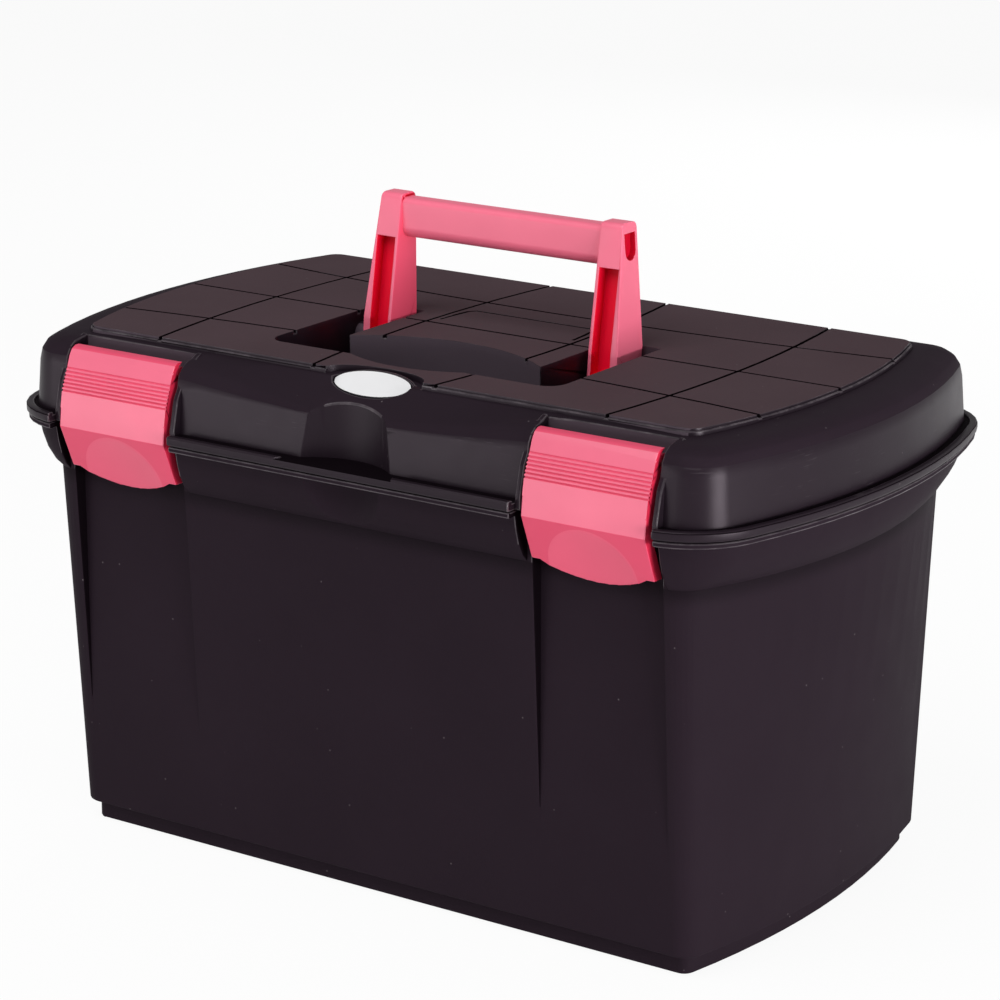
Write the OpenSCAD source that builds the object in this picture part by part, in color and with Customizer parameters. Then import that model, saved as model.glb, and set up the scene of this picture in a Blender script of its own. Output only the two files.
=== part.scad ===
// Grooming box: a moulded tub with a hinged lid, a fold-down handle, two front latches and a lift-out tray.
// X runs along the length, the front faces -Y, Z is up, and the origin is under the middle of the base.

/* [Rim outline] */
// Half depth of the rim, from the middle of the box to the front edge
rim_half_d = 123.5; // [115:0.5:135]
// Half length of the rim, from the middle of the box to the middle of an end
rim_half_l = 206.5; // [195:0.5:225]
// How far each end of the rim bows out past its corners
rim_bow = 25; // [15:0.5:32]
// Corner radius of the rim in plan
rim_corner_r = 38; // [34:0.5:46]

/* [Tub] */
// Height of the rim above the ground
rim_z = 197.4; // [170:0.2:240]
// Thickness of the tub walls
tub_t = 3; // [2:0.1:4]
// Thickness of the tub floor
floor_t = 3.5; // [2:0.1:6]
// Height of the plinth that the tub stands on
plinth_h = 8; // [5:0.5:12]
// How far the plinth is set in from the foot of the walls
plinth_inset = 5; // [2:0.5:8]
// Thickness of the flange round the tub rim
tub_flange_t = 2.6; // [1.6:0.1:4]
// Height of the rounded collar under the flange
collar_h = 21.5; // [16:0.5:26]
// How far the top of the collar is set in from the rim edge
collar_inset = 5.5; // [4:0.5:8]
// How far the front and rear walls are set in from the rim edge at the top
wall_inset_d = 14.5; // [12:0.5:17]
// How far the end walls are set in from the rim edge at the top
wall_inset_l = 13.5; // [11:0.5:15]
// How much the front and rear walls lean in from top to bottom
draft_d = 9; // [4:0.5:12]
// How much the end walls lean in from top to bottom
draft_l = 15; // [8:0.5:22]
// Bow of the end walls at the top
wall_top_bow = 26; // [18:0.5:30]
// Bow of the end walls at the bottom
wall_low_bow = 12; // [8:0.5:18]
// Corner radius of the walls at the top
wall_top_r = 15; // [12:0.5:20]
// Corner radius of the walls at the bottom
wall_low_r = 10; // [9:0.5:15]
// How far below the rim the ledge for the tray lies
ledge_drop = 17; // [14:0.5:19]

/* [Lid] */
// Height of the lid from its rim to the standing panel
lid_h = 39.2; // [37:0.2:46]
// Gap between the closed lid and the tub rim
rim_gap = 0.4; // [0.2:0.1:1]
// Wall thickness of the lid
lid_t = 2.6; // [2:0.1:3.4]
// Height of the bead round the lid rim
bead_h = 4.4; // [3.6:0.2:6]
// Width of the bead
bead_w = 3.6; // [2.4:0.1:4]
// Depth of the groove behind the bead
bead_groove_d = 0.9; // [0.5:0.1:1.6]
// How far the front and rear walls of the lid are set in from the rim edge at their foot
lid_wall_inset_d = 9.6; // [8:0.2:10.6]
// How far the end walls of the lid are set in from the rim edge at their foot
lid_wall_inset_l = 6.4; // [5.6:0.2:8]
// How much less the end walls of the lid bow out than the rim
lid_bow_less = 3; // [1:0.5:5]
// How much smaller the corner radius of the lid walls is than that of the rim
lid_corner_less = 18; // [10:0.5:20]
// How much the lid walls lean in from their foot to the lid edge
lid_draft = 2.4; // [0.6:0.2:3]
// How far the lid edge at the corners lies under the standing panel
edge_drop = 3.8; // [3.4:0.1:6]
// How much lower the lid edge dips in the middle of the front
front_dip = 11.7; // [4:0.1:12]
// How much lower the lid edge dips in the middle of the ends and the rear
end_dip = 0.4; // [0:0.1:4]
// Edge radius at the corners of the lid
edge_r_corner = 11.6; // [5:0.2:13]
// Edge radius in the middle of the front
edge_r_mid = 2; // [1:0.2:4]

/* [Standing panel] */
// Height of the panel above the lid shoulder
panel_rise = 3; // [2:0.1:4]
// How far the panel is set in from the rim edge
panel_inset = 30.2; // [29.6:0.2:33]
// Width and height of the step round the panel
panel_step = 1; // [0.5:0.1:1.5]
// Width of the grooves between the tiles
groove_w = 1.6; // [1:0.1:2.4]
// Depth of the grooves between the tiles
groove_d = 1.4; // [0.6:0.1:1.8]
// Distance of the inner pair of long grooves from the middle
groove_inner_x = 39.3; // [36:0.2:44]
// Distance of the outer pair of long grooves from the ends of the rim
groove_end = 81; // [72:0.5:95]
// How far the long grooves bow out in the middle
groove_bow = 7.2; // [0:0.2:10]
// Distance of the cross grooves from the middle
groove_row_y = 45.5; // [40:0.5:50]
// How far the cross grooves spread towards the ends
groove_row_spread = 12.5; // [0:0.5:14]

/* [Handle] */
// Clear length between the handle legs
hand_gap = 107; // [98:1:116]
// Thickness of each leg at its foot
leg_t = 15.5; // [13:0.5:17]
// How much thinner each leg is at its head
leg_taper = 4; // [0:0.2:4.4]
// Height of the handle above the standing panel
handle_h = 56.6; // [50:0.2:58]
// Depth of the handle pivot under the standing panel
pivot_depth = 11; // [9:0.2:12]
// Distance of the handle pivot behind the middle of the lid
pivot_y = 2; // [0:0.2:4]
// Distance from the pivot to the rear face of a leg
leg_back = 11; // [10:0.2:12]
// Distance from the pivot to the front face of a leg at the standing panel
leg_front = 9.5; // [8.5:0.2:10]
// Distance from the pivot to the front face of a leg at its head
head_front = 0.5; // [0:0.1:2]
// Radius of the leg foot about the pivot
foot_r = 10.5; // [8.5:0.1:10.8]
// Height of the grip bar
grip_h = 18.6; // [16:0.2:21]
// How far the grip lies below the leg heads
grip_drop = 1.8; // [1:0.1:3]
// How far the grip face lies behind the leg faces
grip_back = 1; // [0.5:0.1:2]
// Edge radius under the grip
grip_r = 5.4; // [3:0.2:5.6]
// Width of the inner rim beside the pocket in each leg
pocket_rim = 2; // [1.4:0.1:3]
// Width of the pocket in each leg
pocket_w = 9.5; // [5:0.5:9.5]
// Depth of the pocket in each leg
pocket_d = 6; // [3:0.2:7]
// Height of the pocket top above the standing panel
pocket_h = 36.8; // [25:0.2:36.8]
// Radius of the handle pins
handle_pin_r = 2.5; // [2:0.1:3]

/* [Handle trough] */
// Gap between a leg and the island inside it
leg_inner_gap = 2; // [1:0.1:3]
// Gap between a leg and the outer wall of the trough
leg_outer_gap = 8; // [4:0.5:9]
// Gap round the folded handle at the front of the trough
trough_front_gap = 3; // [2:0.2:4]
// Gap behind the upright legs
leg_rear_gap = 3; // [1:0.2:4]
// Gap under the folded handle
trough_floor_gap = 3.5; // [2:0.2:5]
// Corner radius of the trough
trough_r = 9; // [5:0.5:12]
// Gap between the folded grip and the island
island_gap = 3.5; // [2:0.2:5]
// Depth of the hollow in the front of the island
island_hollow = 18; // [8:0.5:22]
// Depth of the finger hollow in the front edge of the trough
finger_hollow = 7.5; // [3:0.5:8]
// Half width of the finger hollow
finger_half_w = 30; // [22:0.5:36]

/* [Latches] */
// Distance from the middle of each latch to the end of the rim
latch_end = 81.5; // [81.5:0.5:88]
// Width of a latch
latch_w = 60; // [50:0.5:60]
// Gap at each side of a latch
latch_gap = 1.8; // [0.8:0.1:2]
// Wall thickness of a latch
latch_t = 3; // [2:0.1:3.4]
// How far the sides of a latch are turned in
latch_side_d = 6; // [4:0.2:7]
// Depth of the latch crease behind the rim edge
latch_crease_inset = 3.1; // [2.4:0.1:5]
// Depth of the latch top behind the rim edge
latch_top_inset = 14.7; // [14:0.1:16]
// Depth of the latch foot behind the rim edge
latch_low_inset = 11.3; // [10:0.1:12]
// Depth of the latch top under the standing panel
latch_top_drop = 5.4; // [5:0.1:6.5]
// Height of the latch from its crease to its top
latch_upper_h = 35; // [32:0.5:37]
// Height of the latch from its foot to its crease
latch_lower_h = 20; // [16:0.5:22]
// How far the thumb lip hangs under the latch foot
lip_h = 8; // [3:0.2:9]
// Depth of the thumb dish in the latch
dish_d = 1.8; // [0.6:0.1:2]
// Number of grip grooves across a latch
rib_count = 7; // [3:1:9]
// Radius of the grip grooves
rib_r = 0.45; // [0.2:0.05:0.6]
// Radius of the latch pins
latch_pin_r = 1.5; // [1:0.1:2]
// Radius of the latch barrel round its pin
barrel_r = 4.2; // [3.4:0.1:4.6]
// Thickness of the frame at each side of a latch
frame_t = 2.6; // [1.6:0.1:3]
// Depth of the latch channel in the tub behind the rim edge
channel_inset = 21; // [18:0.5:23]
// Depth of the latch pocket in the lid behind the rim edge
pocket_inset = 26; // [25.6:0.1:26.6]

/* [Thumb scoops and badge] */
// Half width of the scoops in the front of lid and tub
scoop_half_w = 20.5; // [14:0.5:26]
// Depth of the scoop in the lid
lid_scoop_d = 6.5; // [4:0.5:9]
// Depth of the scoop in the tub collar
tub_scoop_d = 7.5; // [4:0.5:9]
// Half length of the oval badge
badge_half_l = 20; // [14:0.5:23]
// Half height of the oval badge
badge_half_h = 8.6; // [6:0.2:9.8]
// Thickness of the badge
badge_t = 1.2; // [0.8:0.1:1.8]

/* [Rear hinge] */
// Distance from the middle of each hinge to the end of the rim
hinge_end = 101.5; // [82:0.5:126]
// Radius of the hinge knuckles
hinge_r = 5.2; // [4.4:0.1:5.6]
// Radius of the hinge pins
hinge_pin_r = 2; // [1.5:0.1:2.5]
// Distance of the hinge axis behind the rim edge
hinge_out = 6.5; // [6.2:0.1:8]
// Height of the hinge axis above the rim
hinge_up = 2.5; // [1.6:0.1:3]
// Length of the lid knuckle
lid_knuckle_l = 26; // [16:0.5:34]
// Length of each tub knuckle
tub_knuckle_l = 12; // [8:0.5:16]

/* [Tray] */
// Depth of the tray below its flange
tray_h = 40; // [20:1:60]
// Wall thickness of the tray
tray_t = 2; // [1.4:0.1:3]
// Gap between the tray and the tub walls
tray_gap = 5.5; // [4:0.5:8]
// How far the tray flange laps onto the ledge
tray_lap = 1.8; // [1:0.1:2.2]
// Thickness of the tray flange
tray_flange_t = 2.5; // [1.6:0.1:3.5]
// Distance of the tray dividers from the middle
divider_x = 70; // [40:1:110]

/* [Hidden] */

$fn = 48;
overrun = 1;
pin_fit = 0.05;
bore_fit = 0.08;
knuckle_gap = 0.5;
seat_gap = 0.3;
sides = [-1, 1];
black = "#2d272b";
pink = "#f0758c";
steel = "silver";

// Steps along the parts of an outline
corner_steps = 7;
end_steps = 12;
lid_edge_steps = 12;
curve_steps = 10;
least_corner_r = 2;

// Tub heights and wall outlines
flange_z = rim_z - tub_flange_t;
collar_z = flange_z - collar_h;
ledge_z = rim_z - ledge_drop;
tub_flange_inset = 1;
plinth_chamfer = 1.5;
wall_top_half_d = rim_half_d - wall_inset_d;
wall_top_half_l = rim_half_l - wall_inset_l;
wall_low_half_d = wall_top_half_d - draft_d;
wall_low_half_l = wall_top_half_l - draft_l;
collar_z_shares = [0.14, 0.40, 0.70];
collar_out_shares = [0.33, 0.66, 0.87];
ledge_out_share = 0.45;

// Lid heights
lid_base = rim_z + rim_gap;
lid_top = lid_base + lid_h;
bead_top = lid_base + bead_h;
bead_floor = bead_top - bead_groove_d;
bead_r = 0.8;
lid_wall_half_d = rim_half_d - lid_wall_inset_d;
lid_wall_half_l = rim_half_l - lid_wall_inset_l;
lid_wall_bow = rim_bow - lid_bow_less;
lid_wall_r = rim_corner_r - lid_corner_less;
shoulder_w = 1.5;
shoulder_z = lid_top - panel_rise;
shoulder_inset = panel_inset - shoulder_w;
corner_edge_z = lid_top - edge_drop;
edge_bends = [0, 0.25, 0.5, 0.75, 1];
panel_half_d = rim_half_d - panel_inset;
groove_outer_x = rim_half_l - groove_end;
arch_x_shares = [-0.92, -0.90, -0.87, -0.80, 0.80, 0.87, 0.90, 0.92];
arch_y_shares = [0.15, 0.37, 0.57, 0.65, 0.65, 0.57, 0.37, 0.15];

// Latch places, worked out from the rim edge and the lid top
latch_x = rim_half_l - latch_end;
latch_half_w = latch_w / 2;
pocket_half_w = latch_half_w + latch_gap;
notch_half_w = pocket_half_w + frame_t;
shelf_out = 1.5;
shelf_t = 4;
channel_y = rim_half_d - channel_inset;
pocket_y = rim_half_d - pocket_inset;
shelf_y = channel_y + shelf_out;
latch_top_z = lid_top - latch_top_drop;
latch_crease_z = latch_top_z - latch_upper_h;
latch_low_z = latch_crease_z - latch_lower_h;
latch_top_y = rim_half_d - latch_top_inset;
latch_crease_y = rim_half_d - latch_crease_inset;
latch_low_y = rim_half_d - latch_low_inset;
latch_out_shares = [0, 0.16, 0.33, 0.50, 0.79, 0.92, 1];
latch_down_shares = [0, 0.03, 0.12, 0.27, 0.52, 0.77, 1];
latch_pin_in = 2;
barrel_drop_share = 1.5;
latch_pin_y = latch_top_y - latch_pin_in;
latch_pin_z = latch_top_z - barrel_drop_share * barrel_r;
rib_top_share = 0.26;
rib_low_share = 0.54;
frame_rise = 0.6;
frame_out = 2.2;
frame_out_shares = [1, 1, 0.85, 0.55, 0.2, 0];
frame_up_shares = [0, 0.15, 0.5, 0.8, 0.95, 1];
frame_x = latch_x - notch_half_w;
catch_half_w = 20;
catch_h = 4;
catch_out = 4.5;
catch_drop = 6.4;
hook_gap = 2;
catch_z = flange_z - catch_drop;
hook_z = catch_z - hook_gap - catch_h;
slant_angle = atan2(latch_crease_y - latch_low_y, latch_lower_h);
slant_l = norm([latch_crease_y - latch_low_y, latch_lower_h]);
dish_low = 1.5;
dish_r = slant_l;
lip_inset = 4;
lip_half_w = latch_half_w - lip_inset;

// Reach of the dips in the lid edge along the front and the ends
dip_reach_share = 1.12;
dip_half_l = dip_reach_share * frame_x;
dip_half_d = panel_half_d;

// Handle and trough places
pivot_z = lid_top - pivot_depth;
handle_top = lid_top + handle_h;
grip_top = handle_top - grip_drop;
leg_in = hand_gap / 2;
leg_out = leg_in + leg_t;
leg_head_r = 3;
trough_half_l = leg_out + leg_outer_gap;
island_half_l = leg_in - leg_inner_gap;
trough_front = pivot_y - handle_h - pivot_depth - trough_front_gap;
trough_rear = pivot_y + leg_back + leg_rear_gap;
trough_floor = pivot_z - max(foot_r, leg_front) - trough_floor_gap;
island_front = pivot_y - (grip_top - grip_h - pivot_z) + island_gap;
island_hollow_r = arc_r(island_half_l, island_hollow);
finger_r = arc_r(finger_half_w, finger_hollow);
boss_wall = 3;
boss_r = handle_pin_r + boss_wall;
boss_gap = 0.8;
recess_w = 8;
recess_h = 11.7;
recess_d = 2.5;
recess_rear = 1.5;
recess_drop = 5;

// Scoop and badge places
lid_scoop_r = arc_r(scoop_half_w, lid_scoop_d);
lid_scoop_y = lid_wall_half_d - lid_draft - lid_scoop_d + lid_scoop_r;
tub_scoop_r = arc_r(scoop_half_w, tub_scoop_d);
tub_scoop_y = rim_half_d - collar_inset - tub_scoop_d + tub_scoop_r;
badge_tilt = 25;
badge_sink = 1.7;
badge_y = panel_half_d;
badge_z = shoulder_z - badge_sink;
badge_rim = 1.8;
badge_fit = 0.3;
badge_notch_l = 5.6;
badge_notch_d = 3.6;
pad_depth = 7;

// Hinge places
hinge_x = rim_half_l - hinge_end;
hinge_y = rim_half_d + hinge_out;
hinge_z = rim_z + hinge_up;
hinge_l = lid_knuckle_l + 2 * tub_knuckle_l + 2 * knuckle_gap;
hinge_root = 7.8;
hinge_web = 6.2;

// Tray outline, kept clear of the latch channels
tray_r = 12;
tray_half_d = channel_y - tub_t - tray_gap;
tray_half_l = wall_top_half_l - tub_t - tray_gap;
tray_end_r = bow_r(wall_top_half_d, wall_top_bow) - tub_t - tray_gap;
tray_bow = tray_end_r - sqrt(tray_end_r * tray_end_r - tray_half_d * tray_half_d);
tray_z = ledge_z + seat_gap;

// Radius of an arc from its half width and its depth
function arc_r(half_w, depth) = (half_w * half_w + depth * depth) / (2 * depth);
function bow_r(half_d, bow) = arc_r(half_d, bow);

// Points along an arc, without its last one
function arc(x, y, r, from, to, steps) =
    [for (i = [0 : steps - 1]) let (a = from + (to - from) * i / steps) [x + r * cos(a), y + r * sin(a)]];

// Plan outline with straight front and rear, bowed ends and round corners, set in by a margin
function outline(half_d, half_l, bow, r, inset, edge_steps) =
    let (
        bow_x = half_l - bow_r(half_d, bow),
        end_r = bow_r(half_d, bow) - inset,
        front = half_d - inset,
        corner_r = max(r - inset, least_corner_r),
        corner_y = front - corner_r,
        corner_x = bow_x + sqrt(pow(end_r - corner_r, 2) - pow(corner_y, 2)),
        turn = atan2(corner_y, corner_x - bow_x)
    )
    concat(
        [for (i = [0 : edge_steps - 1]) [corner_x * (2 * i / edge_steps - 1), -front]],
        arc(corner_x, -corner_y, corner_r, -90, -turn, corner_steps),
        arc(bow_x, 0, end_r, -turn, turn, end_steps),
        arc(corner_x, corner_y, corner_r, turn, 90, corner_steps),
        [for (i = [0 : edge_steps - 1]) [corner_x * (1 - 2 * i / edge_steps), front]],
        arc(-corner_x, corner_y, corner_r, 90, 180 - turn, corner_steps),
        arc(-bow_x, 0, end_r, 180 - turn, 180 + turn, end_steps),
        arc(-corner_x, -corner_y, corner_r, 180 + turn, 270, corner_steps)
    );

function rim_ring(inset, edge_steps = 1) =
    outline(rim_half_d, rim_half_l, rim_bow, rim_corner_r, inset, edge_steps);
function wall_top_ring(inset) =
    outline(wall_top_half_d, wall_top_half_l, wall_top_bow, wall_top_r, inset, 1);
function wall_low_ring(inset) =
    outline(wall_low_half_d, wall_low_half_l, wall_low_bow, wall_low_r, inset, 1);
function lid_ring(inset) = rim_ring(inset, lid_edge_steps);
function lid_wall_ring(inset) =
    outline(lid_wall_half_d, lid_wall_half_l, lid_wall_bow, lid_wall_r, inset, lid_edge_steps);
function tray_ring(inset, lap = 0) =
    outline(tray_half_d, tray_half_l + lap, tray_bow, tray_r, inset, 1);

function centre(ring) = [0, 0, ring[0].z];
function at_z(ring, z) = [for (p = ring) [p.x, p.y, z]];
function between(a, b, share) = [for (i = [0 : len(a) - 1]) a[i] + (b[i] - a[i]) * share];
function toward(a, b, distance) = a + (b - a) * distance / norm(b - a);
function bend(a, b, c, t) = a * pow(1 - t, 2) + b * 2 * t * (1 - t) + c * t * t;

// Shares of the front dip and of the end and rear dip at a place on the lid edge
function front_share(p) = p.y < 0 ? max(0, 1 - pow(p.x / dip_half_l, 2)) : 0;
function end_share(p) = max(0, 1 - pow(p.y / dip_half_d, 2), p.y > 0 ? 1 - pow(p.x / dip_half_l, 2) : 0);
function edge_z(p) = corner_edge_z - max(front_dip * front_share(p), end_dip * end_share(p));
function edge_r(p) = edge_r_corner + (edge_r_mid - edge_r_corner) * front_share(p);

// One ring of the rounded lid edge, between the wall and the sloping shoulder
function lid_edge_ring(t) =
    let (
        foot = at_z(lid_wall_ring(0), bead_floor),
        edge = [for (p = lid_wall_ring(lid_draft)) [p.x, p.y, edge_z(p)]],
        top = at_z(lid_ring(shoulder_inset), shoulder_z)
    )
    [for (i = [0 : len(edge) - 1])
        let (p = edge[i], r = edge_r(p))
        bend(toward(p, foot[i], r), p, toward(p, top[i], r), t)];

// Ring of the lid hollow behind the rounded edge
function lid_inner_ring() =
    let (outer = lid_wall_ring(lid_draft), inner = lid_wall_ring(lid_draft + lid_t))
    [for (i = [0 : len(inner) - 1])
        [inner[i].x, inner[i].y, edge_z(outer[i]) - lid_t - edge_r(outer[i]) / 2]];

// Direction of a path at one of its points, and the outline of a strip along it
function heading(path, i) =
    let (d = path[min(i + 1, len(path) - 1)] - path[max(i - 1, 0)]) d / norm(d);
function beside(path, i, w) = let (d = heading(path, i)) path[i] + [-d.y, d.x] * w;
function strip(path, w) = concat(
    [for (i = [0 : len(path) - 1]) beside(path, i, w / 2)],
    [for (i = [len(path) - 1 : -1 : 0]) beside(path, i, -w / 2)]
);

function ellipse(half_l, half_h) =
    [for (i = [0 : $fn - 1]) let (a = 360 * i / $fn) [half_l * cos(a), half_h * sin(a)]];

// Closed solid through a stack of rings, each end closed by a fan about its middle
module loft(rings) {
    n = len(rings[0]);
    last = (len(rings) - 1) * n;
    middle = last + n;
    polyhedron(
        points = concat([for (ring = rings) each ring], [centre(rings[0]), centre(rings[len(rings) - 1])]),
        faces = concat(
            [for (i = [0 : n - 1]) [i, (i + 1) % n, middle]],
            [for (k = [0 : len(rings) - 2], i = [0 : n - 1], upper = [true, false])
                let (a = k * n + i, b = k * n + (i + 1) % n)
                upper ? [a, a + n, b + n] : [a, b + n, b]],
            [for (i = [0 : n - 1]) [last + (i + 1) % n, last + i, middle + 1]]
        )
    );
}

// Plan outline as a plate from one height to another
module plate(ring, low, high) {
    translate([0, 0, low])
        linear_extrude(high - low)
            polygon(ring);
}

// Section in the YZ plane, drawn out along X about a centre
module along_x(x, length) {
    translate([x - length / 2, 0, 0])
        rotate([90, 0, 90])
            linear_extrude(length)
                children();
}

// Round bar along X about a centre
module bar_x(x, y, z, r, length) {
    translate([x - length / 2, y, z])
        rotate([0, 90, 0])
            cylinder(r = r, h = length);
}

// Box from its lowest to its highest corner
module box(low, high) {
    translate(low)
        cube(high - low);
}

module tub() {
    color(black)
        difference() {
            union() {
                difference() {
                    tub_outer();
                    latch_channels(0);
                    tub_scoop(0);
                    tub_hollow();
                }
                tub_hinges();
                latch_catches();
            }
            hinge_bars(hinge_pin_r + pin_fit, overrun);
        }
}

module tub_outer() {
    wall_top = wall_top_ring(0);
    collar_top = rim_ring(collar_inset);
    loft(concat(
        [
            at_z(wall_low_ring(plinth_inset), 0),
            at_z(wall_low_ring(plinth_inset), plinth_h),
            at_z(wall_low_ring(0), plinth_h + plinth_chamfer),
            at_z(wall_top, collar_z)
        ],
        [for (i = [0 : len(collar_z_shares) - 1])
            at_z(
                between(wall_top, collar_top, collar_out_shares[i]),
                collar_z + collar_h * collar_z_shares[i]
            )],
        [
            at_z(collar_top, flange_z),
            at_z(rim_ring(tub_flange_inset), flange_z),
            at_z(rim_ring(tub_flange_inset), rim_z)
        ]
    ));
}

// Inside of the tub, stepped out to a ledge under the rim and kept off the channels and the scoop
module tub_hollow() {
    collar_inner = rim_ring(collar_inset + tub_t);
    difference() {
        loft([
            at_z(wall_low_ring(plinth_inset + tub_t), floor_t),
            at_z(wall_low_ring(plinth_inset + tub_t), plinth_h),
            at_z(wall_low_ring(tub_t), plinth_h + 2 * tub_t),
            at_z(wall_top_ring(tub_t), ledge_z),
            at_z(between(wall_top_ring(tub_t), collar_inner, ledge_out_share), ledge_z),
            at_z(collar_inner, flange_z),
            at_z(collar_inner, rim_z + overrun)
        ]);
        latch_channels(tub_t);
        tub_scoop(tub_t);
    }
}

// Channels down the front wall behind the latches, with wider notches in the collar and the flange
module latch_channels(grow) {
    half_w = pocket_half_w + grow;
    notch_w = notch_half_w + grow;
    for (side = sides) {
        box(
            [side * latch_x - half_w, -rim_half_d - overrun, -overrun],
            [side * latch_x + half_w, -channel_y + grow, rim_z + 2 * overrun]
        );
        box(
            [side * latch_x - notch_w, -rim_half_d - overrun, collar_z - grow],
            [side * latch_x + notch_w, -wall_top_half_d + grow, rim_z + 2 * overrun]
        );
    }
}

module tub_scoop(grow) {
    translate([0, -tub_scoop_y, collar_z - grow - overrun])
        cylinder(r = tub_scoop_r + grow, h = collar_h + overrun + (grow > 0 ? grow + ledge_drop : 0));
}

// Ledges in the channels that the latch hooks snap under
module latch_catches() {
    for (side = sides)
        box(
            [side * latch_x - catch_half_w, -channel_y - catch_out, catch_z],
            [side * latch_x + catch_half_w, -channel_y + tub_t / 2, catch_z + catch_h]
        );
}

// Places of the two tub knuckles of each hinge
function tub_knuckle_xs() = [for (side = sides, end = sides)
    side * hinge_x + end * (lid_knuckle_l + tub_knuckle_l + 2 * knuckle_gap) / 2];

module tub_hinges() {
    root_y = rim_half_d - collar_inset - tub_t / 2;
    for (x = tub_knuckle_xs()) {
        bar_x(x, hinge_y, hinge_z, hinge_r, tub_knuckle_l);
        along_x(x, tub_knuckle_l)
            polygon([
                [root_y, flange_z - hinge_root],
                [hinge_y, hinge_z - hinge_web],
                [hinge_y + hinge_r, hinge_z],
                [hinge_y, hinge_z],
                [hinge_y - hinge_r, rim_z],
                [root_y, rim_z]
            ]);
    }
}

// Bars along the hinge axis, one for each hinge
module hinge_bars(r, extra) {
    for (side = sides)
        bar_x(side * hinge_x, hinge_y, hinge_z, r, hinge_l + 2 * extra);
}

module lid() {
    color(black)
        difference() {
            union() {
                difference() {
                    union() {
                        difference() {
                            lid_outer();
                            bead_gaps();
                        }
                        latch_frames();
                        standing_panel();
                        badge_pad();
                    }
                    lid_hollow();
                    latch_pockets(0);
                    latch_openings();
                    handle_trough(0);
                    lid_scoop(0);
                    tile_grooves();
                    badge_seat();
                }
                handle_bosses();
                lid_hinges();
            }
            hinge_bars(hinge_pin_r + bore_fit, overrun);
            handle_bars(handle_pin_r + pin_fit, overrun);
            latch_bars(latch_pin_r + pin_fit, overrun);
        }
}

// Rim plate with its bead, and the drafted walls that stand on it
module lid_outer() {
    loft([
        at_z(rim_ring(bead_r), lid_base),
        at_z(rim_ring(0), lid_base + bead_r),
        at_z(rim_ring(0), bead_top - bead_r),
        at_z(rim_ring(bead_r), bead_top),
        at_z(rim_ring(bead_w), bead_top),
        at_z(rim_ring(bead_w), bead_floor)
    ]);
    loft(concat(
        [at_z(lid_wall_ring(0), lid_base), at_z(lid_wall_ring(0), bead_floor)],
        [for (t = edge_bends) lid_edge_ring(t)],
        [at_z(lid_ring(shoulder_inset), shoulder_z)]
    ));
}

// Gaps in the bead in front of the latch frames
module bead_gaps() {
    for (side = sides)
        box(
            [side * latch_x - notch_half_w, -rim_half_d - overrun, lid_base - overrun],
            [side * latch_x + notch_half_w, -lid_wall_half_d, bead_top + overrun]
        );
}

// Inside of the lid, kept off the pockets, the trough and the scoop by a wall thickness
module lid_hollow() {
    difference() {
        loft([
            at_z(lid_wall_ring(lid_t), lid_base - overrun),
            lid_inner_ring(),
            at_z(lid_ring(shoulder_inset + lid_t), shoulder_z - lid_t)
        ]);
        latch_pockets(lid_t);
        handle_trough(lid_t);
        lid_scoop(lid_t);
        badge_pad();
    }
}

// Pockets that the latches turn in, open at the front and top
module latch_pockets(grow) {
    half_w = pocket_half_w + grow;
    for (side = sides)
        box(
            [side * latch_x - half_w, -rim_half_d - overrun, lid_base + shelf_t - grow],
            [side * latch_x + half_w, -pocket_y + grow, lid_top - groove_d]
        );
}

// Gaps in the rim plate that the latches pass through
module latch_openings() {
    for (side = sides)
        box(
            [side * latch_x - pocket_half_w, -rim_half_d - overrun, lid_base - overrun],
            [side * latch_x + pocket_half_w, -shelf_y, lid_base + shelf_t + overrun]
        );
}

// Thin upright frames that hold the ends of the latch pins
module latch_frames() {
    depth = latch_crease_y - frame_out - pocket_y;
    height = shoulder_z + frame_rise - lid_base;
    for (side = sides, end = sides)
        along_x(side * latch_x + end * (pocket_half_w + frame_t / 2), frame_t)
            polygon(concat(
                [[-pocket_y, lid_base]],
                [for (i = [0 : len(frame_out_shares) - 1])
                    [-pocket_y - depth * frame_out_shares[i], lid_base + height * frame_up_shares[i]]]
            ));
}

module standing_panel() {
    plate(rim_ring(panel_inset), shoulder_z - panel_step, lid_top - panel_step);
    plate(rim_ring(panel_inset + panel_step), lid_top - 2 * panel_step, lid_top);
}

module tile_grooves() {
    half_l = rim_half_l - panel_inset;
    reach = panel_half_d + overrun;
    for (side = sides) {
        for (x = [groove_inner_x, groove_outer_x])
            groove([for (i = [0 : curve_steps]) let (s = 2 * i / curve_steps - 1)
                [side * (x - groove_bow * s * s), reach * s]]);
        groove([for (i = [0 : curve_steps]) let (s = 2 * i / curve_steps - 1)
            [(half_l + overrun) * s, side * (groove_row_y + groove_row_spread * s * s)]]);
    }
    groove([[-half_l - overrun, 0], [half_l + overrun, 0]]);
    groove([for (i = [0 : len(arch_x_shares) - 1])
        [groove_inner_x * arch_x_shares[i], groove_row_y * arch_y_shares[i]]]);
}

module groove(path) {
    plate(strip(path, groove_w), lid_top - groove_d, lid_top + overrun);
}

module lid_scoop(grow) {
    translate([0, -lid_scoop_y, bead_floor - grow])
        cylinder(r = lid_scoop_r + grow, h = lid_h);
}

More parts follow.
